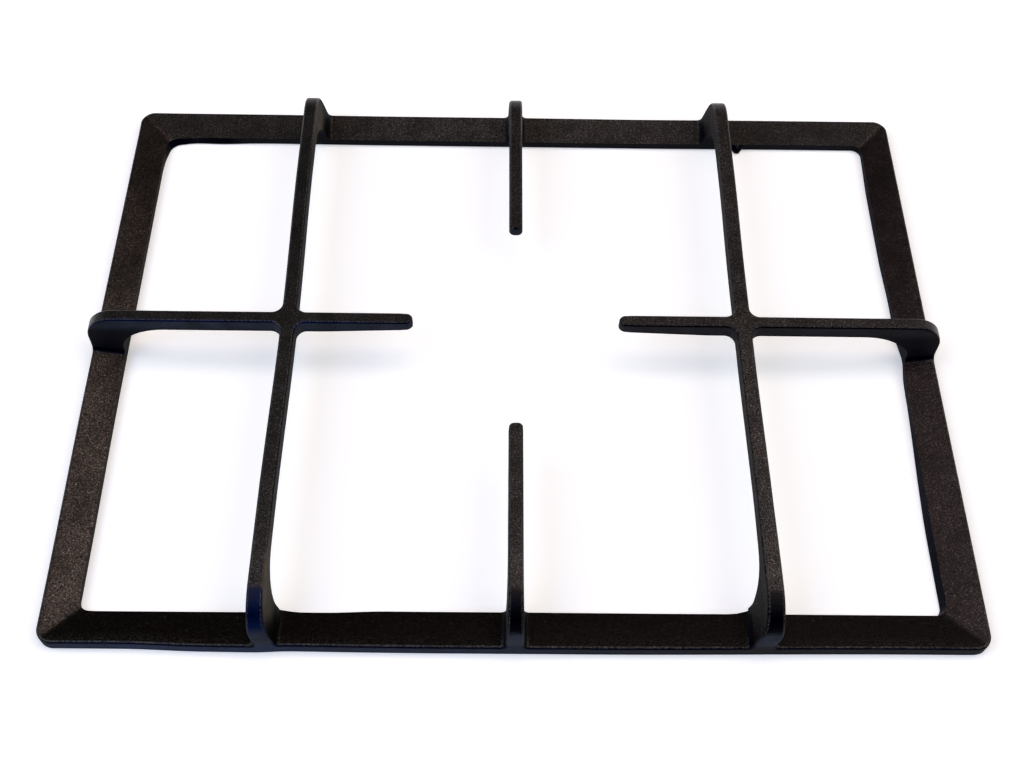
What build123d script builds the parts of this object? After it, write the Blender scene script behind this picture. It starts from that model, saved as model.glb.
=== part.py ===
"""Hob pan support: one iron casting, a flat frame with raised bars that carry the pan.

The origin is the middle of the underside, where the frame rests on the hob.
X runs along the front rail, Y from front to back, Z up.
"""
from build123d import *
from math import acos, atan, cos, isclose, radians, tan
import os

os.makedirs("parts", exist_ok=True)

# Frame
frame_length = 400.0
frame_depth = 300.0
side_rail_width = 15.0
end_rail_width = 16.0
rim_height = 6.9
rail_fall = 2.6
outer_corner_radius = 7.0
inner_corner_radius = 5.0
mitre_width = 4.7

# Bars and fingers
support_height = 29.3
bar_width = 6.2
bar_depth = 7.0
tip_depth = 5.0
mould_draft = 2.0
long_bar_spacing = 211.0
side_tip_gap = 96.0
end_tip_gap = 110.0
crossing_radius = 5.0
tip_radius = 2.2
taper_blend_radius = 150.0

# Legs, where a bar turns down into its rail
side_shoulder_radius = 14.0
end_shoulder_radius = 17.5
arch_run = 22.0
arch_land = 0.7
root_radius = 2.5
heel_spread = 3.0

# Cast edges
rim_radius = 1.2
base_chamfer = 0.6

# What differs by less than this counts as level or upright
level = 0.01

# Heights and reaches that follow from the sizes above
lip_height = rim_height - rail_fall
leg_foot = lip_height / 2
leg_height = support_height - rim_height - root_radius - rim_radius
bar_underside = support_height - bar_depth
arch_foot = lip_height + root_radius + arch_land
crossing_reach = bar_width + 2 * crossing_radius
overrun = support_height * tan(radians(mould_draft)) + bar_width


def hollow_view(span, rail_width):
    """The hollow over the rails seen from one side: it falls from rim to lip, and as far again."""
    bottom = lip_height - rail_fall
    with BuildSketch() as view:
        with BuildLine():
            Polyline(
                (span / 2, rim_height),
                (span / 2 - 2 * rail_width, bottom),
                (2 * rail_width - span / 2, bottom),
                (-span / 2, rim_height),
                close=True,
            )
        make_face()
    return view.sketch


def bar_side_view(span, rail_width, shoulder_radius, taper=None):
    """A bar seen from its side, with a leg on the rail at each end.

    taper gives where its underside starts to rise, and where the finger's tip is.
    """
    outer = span / 2
    inner = outer - rail_width
    arch_end = inner - arch_run
    shoulder_radius = min(shoulder_radius, leg_height)
    with BuildSketch() as view:
        with BuildLine():
            Line((0, support_height), (outer - shoulder_radius, support_height))
            RadiusArc(
                (outer - shoulder_radius, support_height),
                (outer, support_height - shoulder_radius),
                shoulder_radius,
            )
            Polyline(
                (outer, support_height - shoulder_radius),
                (outer, leg_foot),
                (inner, leg_foot),
                (inner, arch_foot),
            )
            EllipticalCenterArc(
                (arch_end, arch_foot), arch_run, bar_underside - arch_foot, arc_size=90
            )
            if taper is None:
                Polyline((arch_end, bar_underside), (0, bar_underside), (0, support_height))
            else:
                start, tip = taper
                slope = (bar_depth - tip_depth) / (start - tip)
                middle = (0, bar_underside + slope * start)
                FilletPolyline(
                    (arch_end, bar_underside),
                    (start, bar_underside),
                    middle,
                    radius=taper_blend_radius,
                )
                Line(middle, (0, support_height))
        make_face()
        mirror(about=Plane.YZ)
    return view.sketch


side_taper = (long_bar_spacing / 2 - crossing_reach, side_tip_gap / 2)
end_taper = (frame_depth / 2 - end_rail_width - arch_run - 1.5 * bar_depth, end_tip_gap / 2)
cross_bar_view = bar_side_view(frame_length, side_rail_width, side_shoulder_radius, side_taper)
finger_view = bar_side_view(frame_depth, end_rail_width, end_shoulder_radius, end_taper)
long_bar_view = bar_side_view(frame_depth, end_rail_width, end_shoulder_radius)

# The side views of the cross-bars and fingers drawn out sideways, past their feet
with BuildPart() as side_views:
    with BuildSketch(Plane.XZ.offset(-crossing_reach)):
        add(cross_bar_view)
    extrude(amount=2 * crossing_reach)
    with BuildSketch(Plane.YZ.offset(-crossing_reach)):
        add(finger_view)
    extrude(amount=2 * crossing_reach)

# Plan of the cross-bars and fingers
with BuildSketch() as plan:
    side_reach = (frame_length - side_tip_gap) / 2 + overrun
    with GridLocations(side_tip_gap + side_reach, 0, 2, 1):
        Rectangle(side_reach, bar_width)
    end_reach = (frame_depth - end_tip_gap) / 2 + overrun
    with GridLocations(0, end_tip_gap + end_reach, 1, 2):
        Rectangle(bar_width, end_reach)
    tips = plan.vertices().filter_by(
        lambda corner: abs(corner.X) < side_tip_gap / 2 + bar_width
        and abs(corner.Y) < end_tip_gap / 2 + bar_width
    )
    fillet(tips, tip_radius)


def drawn_down(outline):
    """A piece of the plan drawn down from the top, its sides spread by the mould's draft."""
    top = Plane.XY.offset(support_height)
    with BuildPart() as piece:
        with BuildSketch(top):
            add(outline)
        extrude(amount=-support_height)
        sides = piece.faces().filter_by(lambda face: abs(face.normal_at().Z) < level)
        draft(sides, top, mould_draft)
    return piece.part


# Long bars: drawn from the front, because their legs spread towards the middle below the bar
with BuildSketch() as section:
    lean = tan(radians(mould_draft))
    top_width = bar_width / 2
    underside_width = top_width + lean * bar_depth
    foot_width = top_width + lean * (support_height - leg_foot)
    heel = (foot_width + heel_spread, leg_foot)
    with BuildLine():
        Polyline(
            (underside_width, bar_underside),
            (top_width, support_height),
            (-top_width, support_height),
            (-foot_width, leg_foot),
            heel,
        )
        TangentArc((underside_width, bar_underside), heel, tangent=(lean, -1))
    make_face()

with BuildPart() as long_bars:
    with BuildSketch(Plane.XZ.offset(-frame_depth / 2)):
        with Locations((-long_bar_spacing / 2, 0)):
            add(section.sketch)
    extrude(amount=frame_depth)
    mirror(about=Plane.YZ)
    with BuildSketch(Plane.YZ.offset(-frame_length / 2)):
        add(long_bar_view)
    extrude(amount=frame_length, mode=Mode.INTERSECT)

# Bars: the plan drawn down and kept where the side views are, then joined to the long bars
plan_pieces = [drawn_down(outline) for outline in plan.sketch.faces()]
with BuildPart() as bars:
    add(plan_pieces)
    add(side_views.part, mode=Mode.INTERSECT)
    add(long_bars.part)
    crossings = bars.edges().filter_by(
        lambda edge: edge.bounding_box().size.Z > bar_depth / 2
        and abs(abs(edge.center().X) - long_bar_spacing / 2) < bar_width
        and abs(edge.center().Y) < bar_width
    )
    fillet(crossings, crossing_radius)

# Hollow over the rails, with a soft valley where two slopes meet at a corner
with BuildPart() as hollow:
    with BuildSketch(Plane.XZ.offset(-frame_depth)):
        add(hollow_view(frame_length, side_rail_width))
    extrude(amount=2 * frame_depth)
    with BuildSketch(Plane.YZ.offset(-frame_length)):
        add(hollow_view(frame_depth, end_rail_width))
    extrude(amount=2 * frame_length, mode=Mode.INTERSECT)
    mitres = hollow.edges().filter_by(lambda edge: edge.bounding_box().size.Z > level)
    side_slope = atan(rail_fall / side_rail_width)
    end_slope = atan(rail_fall / end_rail_width)
    mitre_bend = acos(cos(side_slope) * cos(end_slope))
    fillet(mitres, mitre_width / 2 / tan(mitre_bend / 2))

# Casting: a flat ring whose top falls from the rim to the lip, with the bars on it
with BuildPart() as casting:
    with BuildSketch():
        RectangleRounded(frame_length, frame_depth, outer_corner_radius)
    extrude(amount=rim_height)
    add(hollow.part, mode=Mode.SUBTRACT)
    with BuildSketch():
        RectangleRounded(
            frame_length - 2 * side_rail_width,
            frame_depth - 2 * end_rail_width,
            inner_corner_radius,
        )
    extrude(amount=rim_height, mode=Mode.SUBTRACT)
    add(bars.part)

    # Fillets where the legs stand on the rails, along the edges that run from lip to rim
    narrowest_rail = min(side_rail_width, end_rail_width)
    roots = casting.edges(Select.LAST).filter_by(
        lambda edge: edge.length > narrowest_rail
        and edge.bounding_box().size.Z > rail_fall / 2
        and lip_height < edge.center().Z < rim_height
    )
    fillet(roots, root_radius)

    # One round runs along the rim, up the legs and over the bars
    rim = casting.edges().filter_by(lambda edge: isclose(edge.center().Z, rim_height, abs_tol=level))
    fillet(rim, rim_radius)

    base = casting.faces().sort_by(Axis.Z)[0]
    chamfer(base.edges(), base_chamfer)

casting.part.label = "pan_support"
export_step(casting.part, "parts/pan_support.step")
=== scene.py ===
"""The looks of a cast-iron hob pan support in matt black enamel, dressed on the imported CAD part."""
import math

import bmesh
import bpy
import numpy as np
from mathutils import Matrix, Vector


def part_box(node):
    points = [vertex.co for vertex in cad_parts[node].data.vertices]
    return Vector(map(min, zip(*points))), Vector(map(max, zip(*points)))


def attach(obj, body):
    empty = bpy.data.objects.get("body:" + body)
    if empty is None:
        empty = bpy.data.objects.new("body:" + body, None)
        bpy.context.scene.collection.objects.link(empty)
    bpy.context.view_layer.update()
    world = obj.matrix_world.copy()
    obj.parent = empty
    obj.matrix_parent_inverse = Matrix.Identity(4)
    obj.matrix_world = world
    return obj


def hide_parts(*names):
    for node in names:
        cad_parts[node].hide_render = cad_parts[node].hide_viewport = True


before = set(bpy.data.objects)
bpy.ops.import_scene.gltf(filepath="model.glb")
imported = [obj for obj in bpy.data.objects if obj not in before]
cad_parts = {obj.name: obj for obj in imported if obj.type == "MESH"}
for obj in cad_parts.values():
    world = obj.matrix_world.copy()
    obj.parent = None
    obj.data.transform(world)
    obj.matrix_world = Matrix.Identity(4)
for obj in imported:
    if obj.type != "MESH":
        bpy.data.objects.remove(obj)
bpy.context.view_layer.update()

MM = 0.001

# Camera, from the fit to the photograph
FOCAL_PIXELS = 1300.6
PICTURE_WIDTH = 1024
PITCH, YAW, ROLL = (math.radians(a) for a in (57.43, -1.40, 1.76))
CAMERA_PLACE = Vector((-9.48, -348.53, 519.67)) * MM

# Places on the casting, in mm
HALF_LENGTH = 200.0
FRONT_Y = -150.0
LONG_BAR_X = 105.5
HEEL_X = 98.0
RAIL_INNER_X = 185.0
RAIL_INNER_Y = 134.0
RIM_X = 196.0
RIM_Y = 146.0
RAIL_TOP = 8.0
DRIP = (118.7, 134.0, 1.6)
DRIP_RADIUS = 2.4
CHIP = (2.2, 54.0, 29.0)

# Casting mesh, in mm: cuts across the bars so that they can bend, and finer cuts round the flaws
CUT_STEP = 4.0
FINE_STEP = 0.5
FINE_SPAN = 2.5
FLAW_REACH = 5.0
SNAP = 0.01
WELD = 0.001
SHARP = math.radians(35)

# Linear colours of the enamel
# Painted light: the bars lighter on the right
BAR_LEFT = (0.0082, 0.0072, 0.0070, 1)
BAR_RIGHT = (0.0180, 0.0150, 0.0135, 1)
# Painted light and shade on the rails: lighter in the middle, the front rail near black, the side rails
# lighter towards the front, the left more than the right
RAIL_ENDS = (0.0120, 0.0102, 0.0095, 1)
RAIL_MIDDLE = (0.0180, 0.0156, 0.0142, 1)
FRONT_RAIL = (0.0014, 0.0009, 0.0007, 1)
LEFT_RAIL_BACK = (0.0085, 0.0055, 0.0045, 1)
LEFT_RAIL_FRONT = (0.040, 0.0305, 0.0245, 1)
RIGHT_RAIL_BACK = (0.0060, 0.0032, 0.0035, 1)
RIGHT_RAIL_FRONT = (0.0160, 0.0112, 0.0112, 1)
# Painted light: the soft valleys between the rail slopes lighter
VALLEY = (0.024, 0.0175, 0.0150, 1)
# Painted shade: dark lines along the rounded edges and fillets
EDGE = (0.0006, 0.0005, 0.0005, 1)
# Painted light and shade: the raised sides that face left get a dark tone of their own
FLANK = (0.0090, 0.0080, 0.0086, 1)
# Painted blue reflection and shade on the forward-facing walls and front legs
LOW_WALL_LEFT = (0.0110, 0.0200, 0.0480, 1)
LOW_WALL_RIGHT = (0.0022, 0.0020, 0.0045, 1)
HIGH_WALL_LEFT = (0.0195, 0.0255, 0.0400, 1)
HIGH_WALL_RIGHT = (0.0135, 0.0120, 0.0150, 1)
FRONT_LEG = (0.0205, 0.0260, 0.0400, 1)
# Painted reflection: a navy line along the front rail's rounded rim
RIM_LINE = (0.0006, 0.0012, 0.0060, 1)
# Painted light: a warm light tone on the right-facing sides of the legs near the bars' ends
LIT_HEEL = (0.054, 0.045, 0.033, 1)
# Painted shade: navy black on the low left-facing parts at the legs' roots
SHADED_HEEL = (0.0008, 0.0016, 0.0060, 1)
# Painted shade: navy black on the front faces of the cross-bars' legs
SHADED_CROSS_LEG = (0.0002, 0.0004, 0.0030, 1)
# Painted reflection and shade: the legs' shoulders near black, deep blue on the left
SHADED_SHOULDER = (0.0002, 0.0002, 0.0018, 1)
BLUE_LEFT_SHOULDER = (0.0003, 0.0034, 0.0230, 1)
# Painted highlight: a light dotted line along the first part of each rounded top edge
EDGE_HIGHLIGHT = (0.06, 0.054, 0.050, 1)
PIT = (0.001, 0.0008, 0.0008, 1)

# Gloss and grain of the enamel
SPECULAR = 0.1
WALL_ROUGHNESS = 0.75
TOP_ROUGHNESS = 0.33
FRONT_RAIL_ROUGHNESS = 0.22
GRAIN_DEPTH = 0.2 * MM

# Floor, in m: radius and height of its rings, its glow near the object, and where that rises to full
FLOOR_RINGS = ((6, 0), (9, 0.4), (11, 1.4), (12.5, 3.5), (13, 6))
FLOOR_SIDES = 48
FLOOR_GLOW = 0.36
GLOW_RISES = 1.0
GLOW_FULL = 5.0

# Lamps: name, azimuth and elevation in degrees, size in m, radiance and colour
LAMP_DISTANCE = 2.0
LAMPS = (
    ("left", -100, 48, (1.7, 1.5), 2.3, (0.98, 1, 0.94)),
    ("right", 100, 48, (1.7, 1.5), 1.9, (0.98, 1, 0.96)),
    ("top", 0, 81, (1.15, 1.0), 2.3, (1, 0.78, 0.70)),
    ("back", 50, 64, (1.15, 1.15), 1.2, (1, 0.78, 0.70)),
    ("fill", -135, 50, (1.15, 1.15), 1.8, (0.05, 0.29, 1)),
)


def ease(value, start, end):
    """0 before start, 1 after end, and smooth between them."""
    t = np.clip((value - start) / (end - start), 0, 1)
    return t * t * (3 - 2 * t)


def bell(distance, width):
    """1 at no distance, falling smoothly to nearly nothing at two widths."""
    return np.exp(-(distance / width) ** 2)


def cut(shape, axis, places, near=None):
    """Cuts the mesh across an axis at each place, all over or only near a point."""
    normal = [0, 0, 0]
    normal[axis] = 1
    for place in places:
        point = [0, 0, 0]
        point[axis] = place * MM
        faces = shape.faces[:]
        if near:
            middle = Vector(near) * MM
            reach = FLAW_REACH * MM
            faces = [face for face in faces if (face.calc_center_median() - middle).length < reach]
        edges = {edge for face in faces for edge in face.edges}
        corners = {corner for face in faces for corner in face.verts}
        bmesh.ops.bisect_plane(
            shape, geom=[*faces, *edges, *corners], plane_co=point, plane_no=normal, dist=SNAP * MM
        )


def warp(p):
    """Moves points, in mm, from the drawn shape to the casting as it came out of its mould."""
    x, y, z = p.T
    move = np.zeros_like(p)
    raised = ease(z, RAIL_TOP, 17)
    lip = ease(z, 0.5, 4.5)

    # Each long bar bows, and is a little wider than drawn
    left = raised * bell(x + LONG_BAR_X, 9)
    right = raised * bell(x - LONG_BAR_X, 9)
    across = np.clip(np.abs(x) - LONG_BAR_X, -3.5, 3.5) / 3.5
    move[:, 0] += left * (0.5 - 1.1 * ease(abs(y), 5, 95) - 0.3 * across)
    right_bow = 0.6 * ease(abs(y), 20, 90) + 0.25 * ease(y, 40, 95)
    right_width = 0.4 + 0.3 * ease(-y, 85, 125)
    move[:, 0] += right * (right_bow + right_width * across)

    # The front heels spread further
    low = ease(-y, 104, 128) * (1 - ease(z, 13, 24)) * ease(z, 4, 8)
    move[:, 0] += low * (0.8 * bell(x + HEEL_X, 7) - 1.9 * bell(x - HEEL_X, 7))

    # A web fills the corner between heel and rail
    web = ease(-y, 125, 134) * (1 - ease(-y, 136, 146)) * (1 - ease(z, 9, 14))
    move[:, 1] += web * (0.9 * bell(x + HEEL_X, 4) + 1.3 * bell(x - HEEL_X - 1, 4))

    # Their outer sides lean in towards the foot
    foot = ease(-y, 128, 140) * (1 - ease(z, 5, 20))
    move[:, 0] += 1.7 * foot * (bell(x + 110, 6) - bell(x - 110, 6))

    # The right rail is broader inside, most of all towards the front
    inside = ease(HALF_LENGTH - x, 3, 14) * (1 - ease(RAIL_INNER_X - x, 0, 40))
    broader = 2.8 * ease(-y, 12, 100) + 0.8 * ease(y, 30, 60) * (1 - ease(y, 100, 130))
    move[:, 0] -= (1 - 0.7 * lip) * inside * broader

    # The left rail sits a little to the right near the front, and the front rail forward beside it
    move[:, 0] += 0.7 * (1 - ease(x, -182, -170)) * ease(-y, 20, 130)
    forward = 0.8 * ease(-y, 120, 132) * (1 - ease(z, 9, 20))
    inner = (1 - ease(-y, 140, 147)) * ease(-x, 55, 80) * (1 - ease(-x, 176, 192))
    outer = ease(-y, 140, 147) * ease(-x, 92, 112) * (1 - ease(-x, 130, 165))
    move[:, 1] -= forward * (inner + outer)

    # Rails bow towards the front in their middle, and the cross-bars sit a little back
    move[:, 1] -= 1.0 * (1 - ease(abs(x), 30, 170)) * (1 - ease(y, FRONT_Y, FRONT_Y + 12))
    move[:, 1] -= 0.4 * (1 - ease(abs(x), 60, 160)) * ease(y, 118, 136)
    move[:, 1] += 0.3 * bell(y, 12)

    # The back left window has a rounder corner
    corner = np.hypot(x + RAIL_INNER_X - 1, y - RAIL_INNER_Y + 1)
    fill = 2.2 * bell(corner, 10) * (1 - 0.6 * lip)
    move[:, 0] += fill
    move[:, 1] -= fill + 0.9 * bell(x + 157, 14) * bell(y - RAIL_INNER_Y, 5) * (1 - lip)

    # The back finger is longer
    finger = bell(x, 5) * ease(z, 20, 23)
    move[:, 1] -= 1.0 * finger * ease(y, 45, 50) * (1 - ease(y, 56, 64))

    # The side fingers' tips are rounder, and the right cross-leg's arch stands further out
    tip = raised * (1 - ease(abs(x), 48, 51.5)) * bell(y, 6)
    move[:, 1] -= 0.28 * y * tip
    arch = (1 - ease(z, 12, 19)) * bell(x - RAIL_INNER_X, 5) * bell(y + 2, 8)
    move[:, 0] += 1.5 * arch

    # A flat-topped drip on the back rail's wall, and a chip out of the back finger's tip
    drip = np.linalg.norm(p - DRIP, axis=1)
    move[:, 1] -= 3.2 * bell(drip ** 2, DRIP_RADIUS ** 2)
    chip = np.linalg.norm(p - CHIP, axis=1)
    move += bell(chip, 1.3)[:, None] * np.array((-0.35, 0.5, -0.6))

    # Long shallow waves of hand-laid sand
    wave = np.sin(x / 17 + 1.3) * np.sin(y / 23 + 0.4) + np.sin(x / 41 - y / 37)
    move[:, 2] += 0.06 * wave * ease(z, 1, 4)
    return p + move


def mark_highlight_line(mesh, drawn):
    """Marks the first part of each rounded top edge, where a painted highlight goes."""
    normals = np.empty(len(mesh.vertices) * 3)
    mesh.vertex_normals.foreach_get("vector", normals)
    nx, ny, nz = np.abs(normals.reshape(-1, 3)).T
    x, y, z = np.abs(drawn).T
    along_y = (np.abs(x - LONG_BAR_X) < 5) | (x < 5)
    tilt = np.where(z < RAIL_TOP, np.hypot(nx, ny), np.where(along_y, nx, ny))
    rim = (z > RAIL_TOP) | (x > RIM_X) | (y > RIM_Y)
    crest = ease(tilt, 0.12, 0.3) * (1 - ease(tilt, 0.45, 0.7)) * ease(nz, 0.3, 0.7) * rim
    edge_highlight = mesh.attributes.new("edge_highlight", "FLOAT", "POINT")
    edge_highlight.data.foreach_set("value", crest)


def make_casting():
    """The CAD casting, cut finely enough to bend, with its cast unevenness, drip and chip."""
    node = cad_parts["pan_support"]
    shape = bmesh.new()
    shape.from_mesh(node.data)
    bmesh.ops.remove_doubles(shape, verts=shape.verts, dist=WELD * MM)
    low, high = (np.array(corner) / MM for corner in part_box("pan_support"))
    for axis in (0, 1):
        cut(shape, axis, np.arange(low[axis] + CUT_STEP / 2, high[axis], CUT_STEP))
    fine_cuts = np.arange(-FINE_SPAN, FINE_SPAN + FINE_STEP / 2, FINE_STEP)
    for flaw in (DRIP, CHIP):
        for axis in (0, 1, 2):
            cut(shape, axis, flaw[axis] + fine_cuts, flaw)
    mesh = bpy.data.meshes.new("casting")
    shape.to_mesh(mesh)
    shape.free()

    # The CAD's own normals no longer fit the bent mesh
    if "custom_normal" in mesh.attributes:
        mesh.attributes.remove(mesh.attributes["custom_normal"])
    points = np.empty(len(mesh.vertices) * 3)
    mesh.vertices.foreach_get("co", points)
    drawn = points.reshape(-1, 3) / MM
    points = warp(drawn) * MM
    points[:, 2] = np.maximum(points[:, 2], 0)
    mesh.vertices.foreach_set("co", points.ravel())
    mesh.update()
    mesh.shade_smooth()
    mesh.set_sharp_from_angle(angle=SHARP)
    mark_highlight_line(mesh, drawn)
    casting = bpy.data.objects.new("casting", mesh)
    bpy.context.scene.collection.objects.link(casting)
    flat = casting.modifiers.new("flat", "WEIGHTED_NORMAL")
    flat.keep_sharp = True
    return casting


def enamel():
    """Matt black enamel on sand-cast iron: fine grain and pits, with painted light and shade on the bars,
    rails, edges and what faces forward.
    """
    material = bpy.data.materials.new("enamel")
    material.use_nodes = True
    nodes = material.node_tree.nodes
    links = material.node_tree.links
    shader = nodes["Principled BSDF"]

    def put(socket, value):
        """Links a socket to another node's output, or sets it."""
        if isinstance(value, bpy.types.NodeSocket):
            links.new(value, socket)
        else:
            socket.default_value = value

    def node(kind, **sockets):
        """A node with some of its sockets filled."""
        made = nodes.new(kind)
        for name, value in sockets.items():
            put(made.inputs[name.replace("_", " ")], value)
        return made

    def blend(factor, a, b, kind="MIX"):
        """Colour a, with colour b over it as far as the factor says."""
        made = nodes.new("ShaderNodeMix")
        made.data_type = "RGBA"
        made.blend_type = kind
        put(made.inputs[0], factor)
        put(made.inputs[6], a)
        put(made.inputs[7], b)
        return made.outputs[2]

    def shade(colour, amount):
        """The colour made lighter or darker."""
        return blend(1.0, colour, amount, "MULTIPLY")

    def spread(value, low, high, start=0.0, end=1.0):
        """Maps low..high to start..end, smoothly and without going past."""
        made = node("ShaderNodeMapRange", Value=value, From_Min=low, From_Max=high, To_Min=start, To_Max=end)
        made.interpolation_type = "SMOOTHSTEP"
        return made.outputs["Result"]

    def maths(operation, *values):
        """The result of one Math node."""
        made = nodes.new("ShaderNodeMath")
        made.operation = operation
        for socket, value in zip(made.inputs, values):
            put(socket, value)
        return made.outputs[0]

    def both(first, *others):
        """The overlap of some masks."""
        for other in others:
            first = maths("MULTIPLY", first, other)
        return first

    place = nodes.new("ShaderNodeTexCoord")
    here = place.outputs["Object"]
    x, y, z = node("ShaderNodeSeparateXYZ", Vector=here).outputs
    nx, ny, nz = node("ShaderNodeSeparateXYZ", Vector=place.outputs["Normal"]).outputs
    beside = maths("ABSOLUTE", x)
    from_middle = maths("ABSOLUTE", y)
    sideways = maths("ABSOLUTE", nx)
    lengthways = maths("ABSOLUTE", ny)

    # Grain and pits of the casting, and the painted highlight line marked on the mesh
    grain = node("ShaderNodeTexNoise", Vector=here, Scale=1300.0, Detail=2.0, Roughness=0.6).outputs["Fac"]
    specks = node("ShaderNodeTexNoise", Vector=here, Scale=1700.0, Detail=1.0, Roughness=0.5).outputs["Fac"]
    mottle = node("ShaderNodeTexNoise", Vector=here, Scale=90.0, Detail=3.0, Roughness=0.55).outputs["Fac"]
    pits = node("ShaderNodeTexVoronoi", Vector=here, Scale=300.0)
    chance = node("ShaderNodeSeparateColor", Color=pits.outputs["Color"]).outputs["Red"]
    hole = both(spread(pits.outputs["Distance"], 0.20, 0.10), spread(chance, 0.80, 0.85))
    edge_highlight = nodes.new("ShaderNodeAttribute")
    edge_highlight.attribute_name = "edge_highlight"
    painted_highlight = both(edge_highlight.outputs["Fac"], spread(grain, 0.40, 0.64))

    # The rails' slopes, told apart by which way they fall, and the soft valleys between them
    low = spread(z, 0.012, 0.0075)
    high = spread(z, 0.0075, 0.012)
    up = both(spread(nz, 0.75, 0.92), low)
    gentle = both(up, spread(sideways, 0.32, 0.22), spread(lengthways, 0.32, 0.22))
    side = both(gentle, spread(ny, 0.13, 0.05))
    left_rail = both(side, spread(nx, 0.03, 0.13))
    right_rail = both(side, spread(nx, -0.03, -0.13))
    front_rail = both(up, spread(ny, 0.03, 0.13))
    valley = both(gentle, spread(sideways, 0.02, 0.08), spread(ny, -0.02, -0.08))

    # Edges, what faces forward, the shoulders of the legs, and the legs' sides
    rounds = both(spread(nz, 0.10, 0.25), spread(nz, 0.92, 0.75))
    front_wall = spread(ny, -0.2, -0.5)
    rim_line = both(rounds, front_wall, low)
    shoulder = both(spread(ny, -0.03, -0.14), spread(nz, 0.25, 0.5), high)
    leftwards = spread(nx, -0.3, -0.6)
    flank = both(leftwards, high)
    shaded_heel = both(leftwards, low)
    at_ends = both(spread(from_middle, 0.095, 0.128), spread(from_middle, 0.147, 0.137))
    lit_heel = both(spread(nx, 0.3, 0.7), at_ends, spread(z, 0.010, 0.017))
    shaded_cross_leg = both(front_wall, spread(y, -0.10, -0.05), spread(z, 0.026, 0.020))

    # Where on the casting: towards the right, the front, the middle or the left
    right = spread(x, -0.11, 0.11)
    front = spread(y, 0.145, -0.10)
    front_end = spread(y, -0.095, -0.128)
    middle = spread(beside, 0.11, 0.05)
    left = spread(x, -0.03, -0.09)

    # Bars and rails, with light and dark specks, and painted light and shade: a near-black front rail, and
    # brownish side rails lighter towards the front
    # Painted light: the bars lighter on the right
    bars = blend(right, BAR_LEFT, BAR_RIGHT)
    # Painted light: the bars lighter towards the front, their front ends more so
    bars = shade(bars, spread(y, 0.06, -0.13, 0.85, 1.75))
    bars = shade(bars, spread(y, -0.095, -0.13, 1.0, 1.4))
    # Painted light and shade: rails lighter in the middle, the front rail near black, the side rails lighter
    # towards the front, the left more than the right
    colour = blend(low, bars, blend(middle, RAIL_ENDS, RAIL_MIDDLE))
    colour = blend(front_rail, colour, FRONT_RAIL)
    colour = blend(left_rail, colour, blend(front, LEFT_RAIL_BACK, LEFT_RAIL_FRONT))
    colour = blend(right_rail, colour, blend(front, RIGHT_RAIL_BACK, RIGHT_RAIL_FRONT))
    # Painted light: the soft valleys between the rail slopes lighter
    colour = blend(valley, colour, VALLEY)
    # Painted shade: dark lines along the rounded edges and fillets
    colour = blend(rounds, colour, EDGE)
    # Painted light and shade: the raised sides that face left get a dark tone of their own
    colour = blend(flank, colour, FLANK)
    colour = shade(colour, spread(grain, 0.32, 0.68, 0.2, 1.8))
    colour = shade(colour, spread(specks, 0.58, 0.70, 1.0, 4.0))

    # Painted blue reflection and shade on what faces forward: bluer and lighter on the left, darker on the
    # right, the front legs' faces light blue
    low_wall = blend(right, LOW_WALL_LEFT, LOW_WALL_RIGHT)
    high_wall = blend(right, HIGH_WALL_LEFT, HIGH_WALL_RIGHT)
    high_wall = blend(front_end, high_wall, FRONT_LEG)
    colour = blend(front_wall, colour, blend(high, low_wall, high_wall))
    # Painted reflection: a navy line along the front rail's rounded rim
    colour = blend(rim_line, colour, RIM_LINE)
    # Painted light: a warm light tone on the right-facing sides of the legs near the bars' ends
    colour = blend(lit_heel, colour, LIT_HEEL)
    # Painted shade: navy black on the low left-facing parts at the legs' roots
    colour = blend(shaded_heel, colour, SHADED_HEEL)
    # Painted shade: navy black on the front faces of the cross-bars' legs
    colour = blend(shaded_cross_leg, colour, SHADED_CROSS_LEG)
    # Painted reflection and shade: the legs' shoulders near black, deep blue on the left
    colour = blend(shoulder, colour, blend(left, SHADED_SHOULDER, BLUE_LEFT_SHOULDER))
    colour = shade(colour, spread(mottle, 0.3, 0.7, 0.7, 1.3))
    # Painted highlight: a light dotted line along the first part of each rounded top edge
    colour = blend(painted_highlight, colour, EDGE_HIGHLIGHT)
    colour = blend(hole, colour, PIT)
    links.new(colour, shader.inputs["Base Color"])

    # Painted shade: edges and fillets are metallic with a near-black colour, so they show as dark lines
    links.new(rounds, shader.inputs["Metallic"])

    # Tops smoother than the walls, and the front rail smoothest
    shader.inputs["Specular IOR Level"].default_value = SPECULAR
    rough = node("ShaderNodeMix", Factor=front_rail)
    put(rough.inputs[2], spread(nz, 0.15, 0.6, WALL_ROUGHNESS, TOP_ROUGHNESS))
    put(rough.inputs[3], FRONT_RAIL_ROUGHNESS)
    links.new(rough.outputs[0], shader.inputs["Roughness"])

    relief = maths("SUBTRACT", grain, hole)
    bump = node("ShaderNodeBump", Height=relief, Strength=1.0, Distance=GRAIN_DEPTH)
    links.new(bump.outputs["Normal"], shader.inputs["Normal"])
    return material


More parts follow.
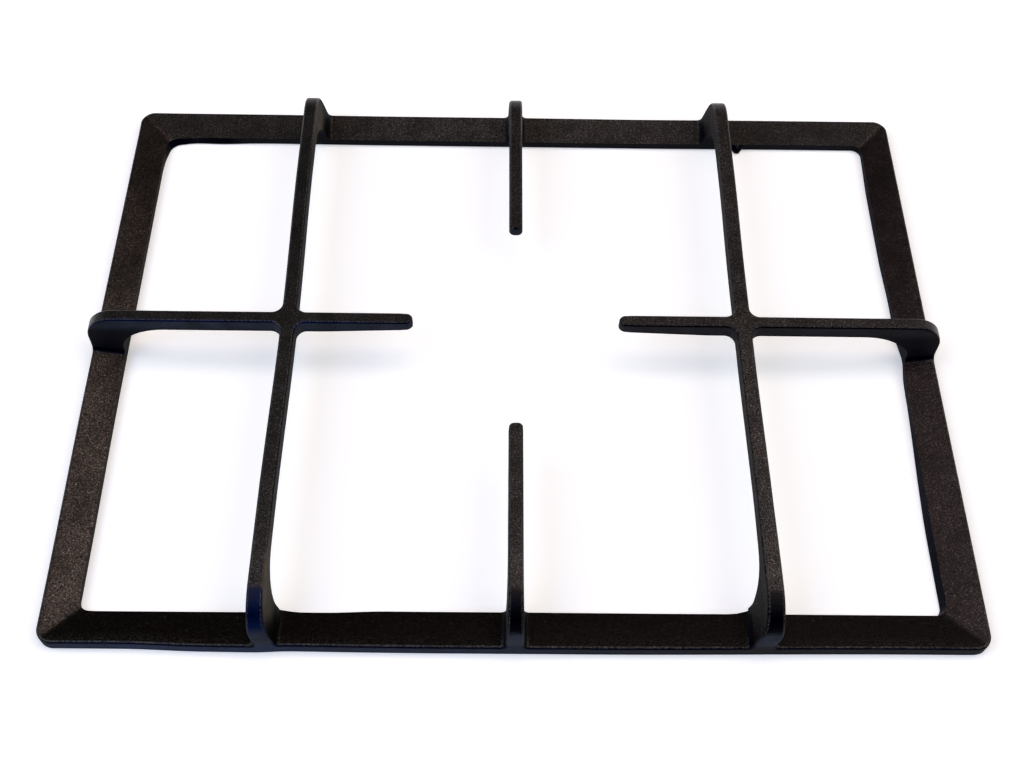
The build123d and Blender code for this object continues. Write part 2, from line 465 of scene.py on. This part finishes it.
def make_camera():
    """The camera that took the photograph, as fitted to its outlines."""
    data = bpy.data.cameras.new("camera")
    data.sensor_fit = "HORIZONTAL"
    data.sensor_width = 36.0
    data.lens = FOCAL_PIXELS / PICTURE_WIDTH * data.sensor_width
    data.clip_start = 0.01
    data.clip_end = 50.0
    turn = Matrix.Rotation(YAW, 3, "Z")
    forward = turn @ Vector((0, math.cos(PITCH), -math.sin(PITCH)))
    right = turn @ Vector((1, 0, 0))
    up = right.cross(forward)
    right_rolled = math.cos(ROLL) * right + math.sin(ROLL) * up
    up_rolled = math.cos(ROLL) * up - math.sin(ROLL) * right
    axes = Matrix((right_rolled, up_rolled, -forward)).transposed()
    camera = bpy.data.objects.new("camera", data)
    camera.matrix_world = Matrix.Translation(CAMERA_PLACE) @ axes.to_4x4()
    bpy.context.scene.collection.objects.link(camera)
    bpy.context.scene.camera = camera


def softbox(name, azimuth, elevation, size, radiance, colour):
    """A soft light at a place on the dome, azimuth 0 behind the object and 90 to its right."""
    a, e = math.radians(azimuth), math.radians(elevation)
    away = Vector((math.sin(a) * math.cos(e), math.cos(a) * math.cos(e), math.sin(e)))
    data = bpy.data.lights.new(name, "AREA")
    data.shape = "RECTANGLE"
    data.size, data.size_y = size
    data.energy = radiance * math.pi * size[0] * size[1]
    data.color = colour
    lamp = bpy.data.objects.new(name, data)
    lamp.location = LAMP_DISTANCE * away
    lamp.rotation_mode = "QUATERNION"
    lamp.rotation_quaternion = (-away).to_track_quat("-Z", "Y")
    bpy.context.scene.collection.objects.link(lamp)


def floor_white():
    """Matt white that also glows by itself, for what the camera and the gloss see."""
    material = bpy.data.materials.new("floor")
    material.use_nodes = True
    nodes = material.node_tree.nodes
    links = material.node_tree.links
    shader = nodes["Principled BSDF"]
    shader.inputs["Base Color"].default_value = (0.9, 0.9, 0.9, 1)
    shader.inputs["Roughness"].default_value = 1
    shader.inputs["Specular IOR Level"].default_value = 0
    shader.inputs["Emission Color"].default_value = (1, 1, 1, 1)

    path = nodes.new("ShaderNodeLightPath")
    seen = path.outputs["Is Camera Ray"]
    for kind in ("Is Glossy Ray", "Is Transmission Ray"):
        either = nodes.new("ShaderNodeMath")
        either.operation = "MAXIMUM"
        links.new(seen, either.inputs[0])
        links.new(path.outputs[kind], either.inputs[1])
        seen = either.outputs[0]

    place = nodes.new("ShaderNodeTexCoord")
    distance = nodes.new("ShaderNodeVectorMath")
    distance.operation = "LENGTH"
    links.new(place.outputs["Object"], distance.inputs[0])
    farther = nodes.new("ShaderNodeMapRange")
    farther.inputs["From Min"].default_value = GLOW_RISES
    farther.inputs["From Max"].default_value = GLOW_FULL
    farther.inputs["To Min"].default_value = FLOOR_GLOW
    farther.inputs["To Max"].default_value = 1.0
    links.new(distance.outputs["Value"], farther.inputs["Value"])

    glow = nodes.new("ShaderNodeMath")
    glow.operation = "MULTIPLY"
    links.new(seen, glow.inputs[0])
    links.new(farther.outputs["Result"], glow.inputs[1])
    links.new(glow.outputs[0], shader.inputs["Emission Strength"])
    return material


def make_floor():
    """A pale floor that turns up far away, so that low views end in white too."""
    turns = [2 * math.pi * step / FLOOR_SIDES for step in range(FLOOR_SIDES)]
    corners = [(r * math.cos(t), r * math.sin(t), z) for r, z in FLOOR_RINGS for t in turns]
    faces = [range(FLOOR_SIDES)]
    for ring in range(len(FLOOR_RINGS) - 1):
        for step in range(FLOOR_SIDES):
            here, beside = (ring * FLOOR_SIDES + s % FLOOR_SIDES for s in (step, step + 1))
            faces.append((here, here + FLOOR_SIDES, beside + FLOOR_SIDES, beside))
    mesh = bpy.data.meshes.new("floor")
    mesh.from_pydata(corners, [], faces)
    mesh.shade_smooth()
    mesh.materials.append(floor_white())
    floor = bpy.data.objects.new("floor", mesh)
    bpy.context.scene.collection.objects.link(floor)


make_camera()
make_floor()
casting = make_casting()
casting.data.materials.append(enamel())
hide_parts("pan_support")
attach(casting, "root")

# The lamps and the floor give all the light, so the world is dark
for lamp in LAMPS:
    softbox(*lamp)
world = bpy.data.worlds.new("world")
bpy.context.scene.world = world
world.use_nodes = True
world.node_tree.nodes["Background"].inputs["Strength"].default_value = 0.0
bpy.context.scene.view_settings.view_transform = "Standard"
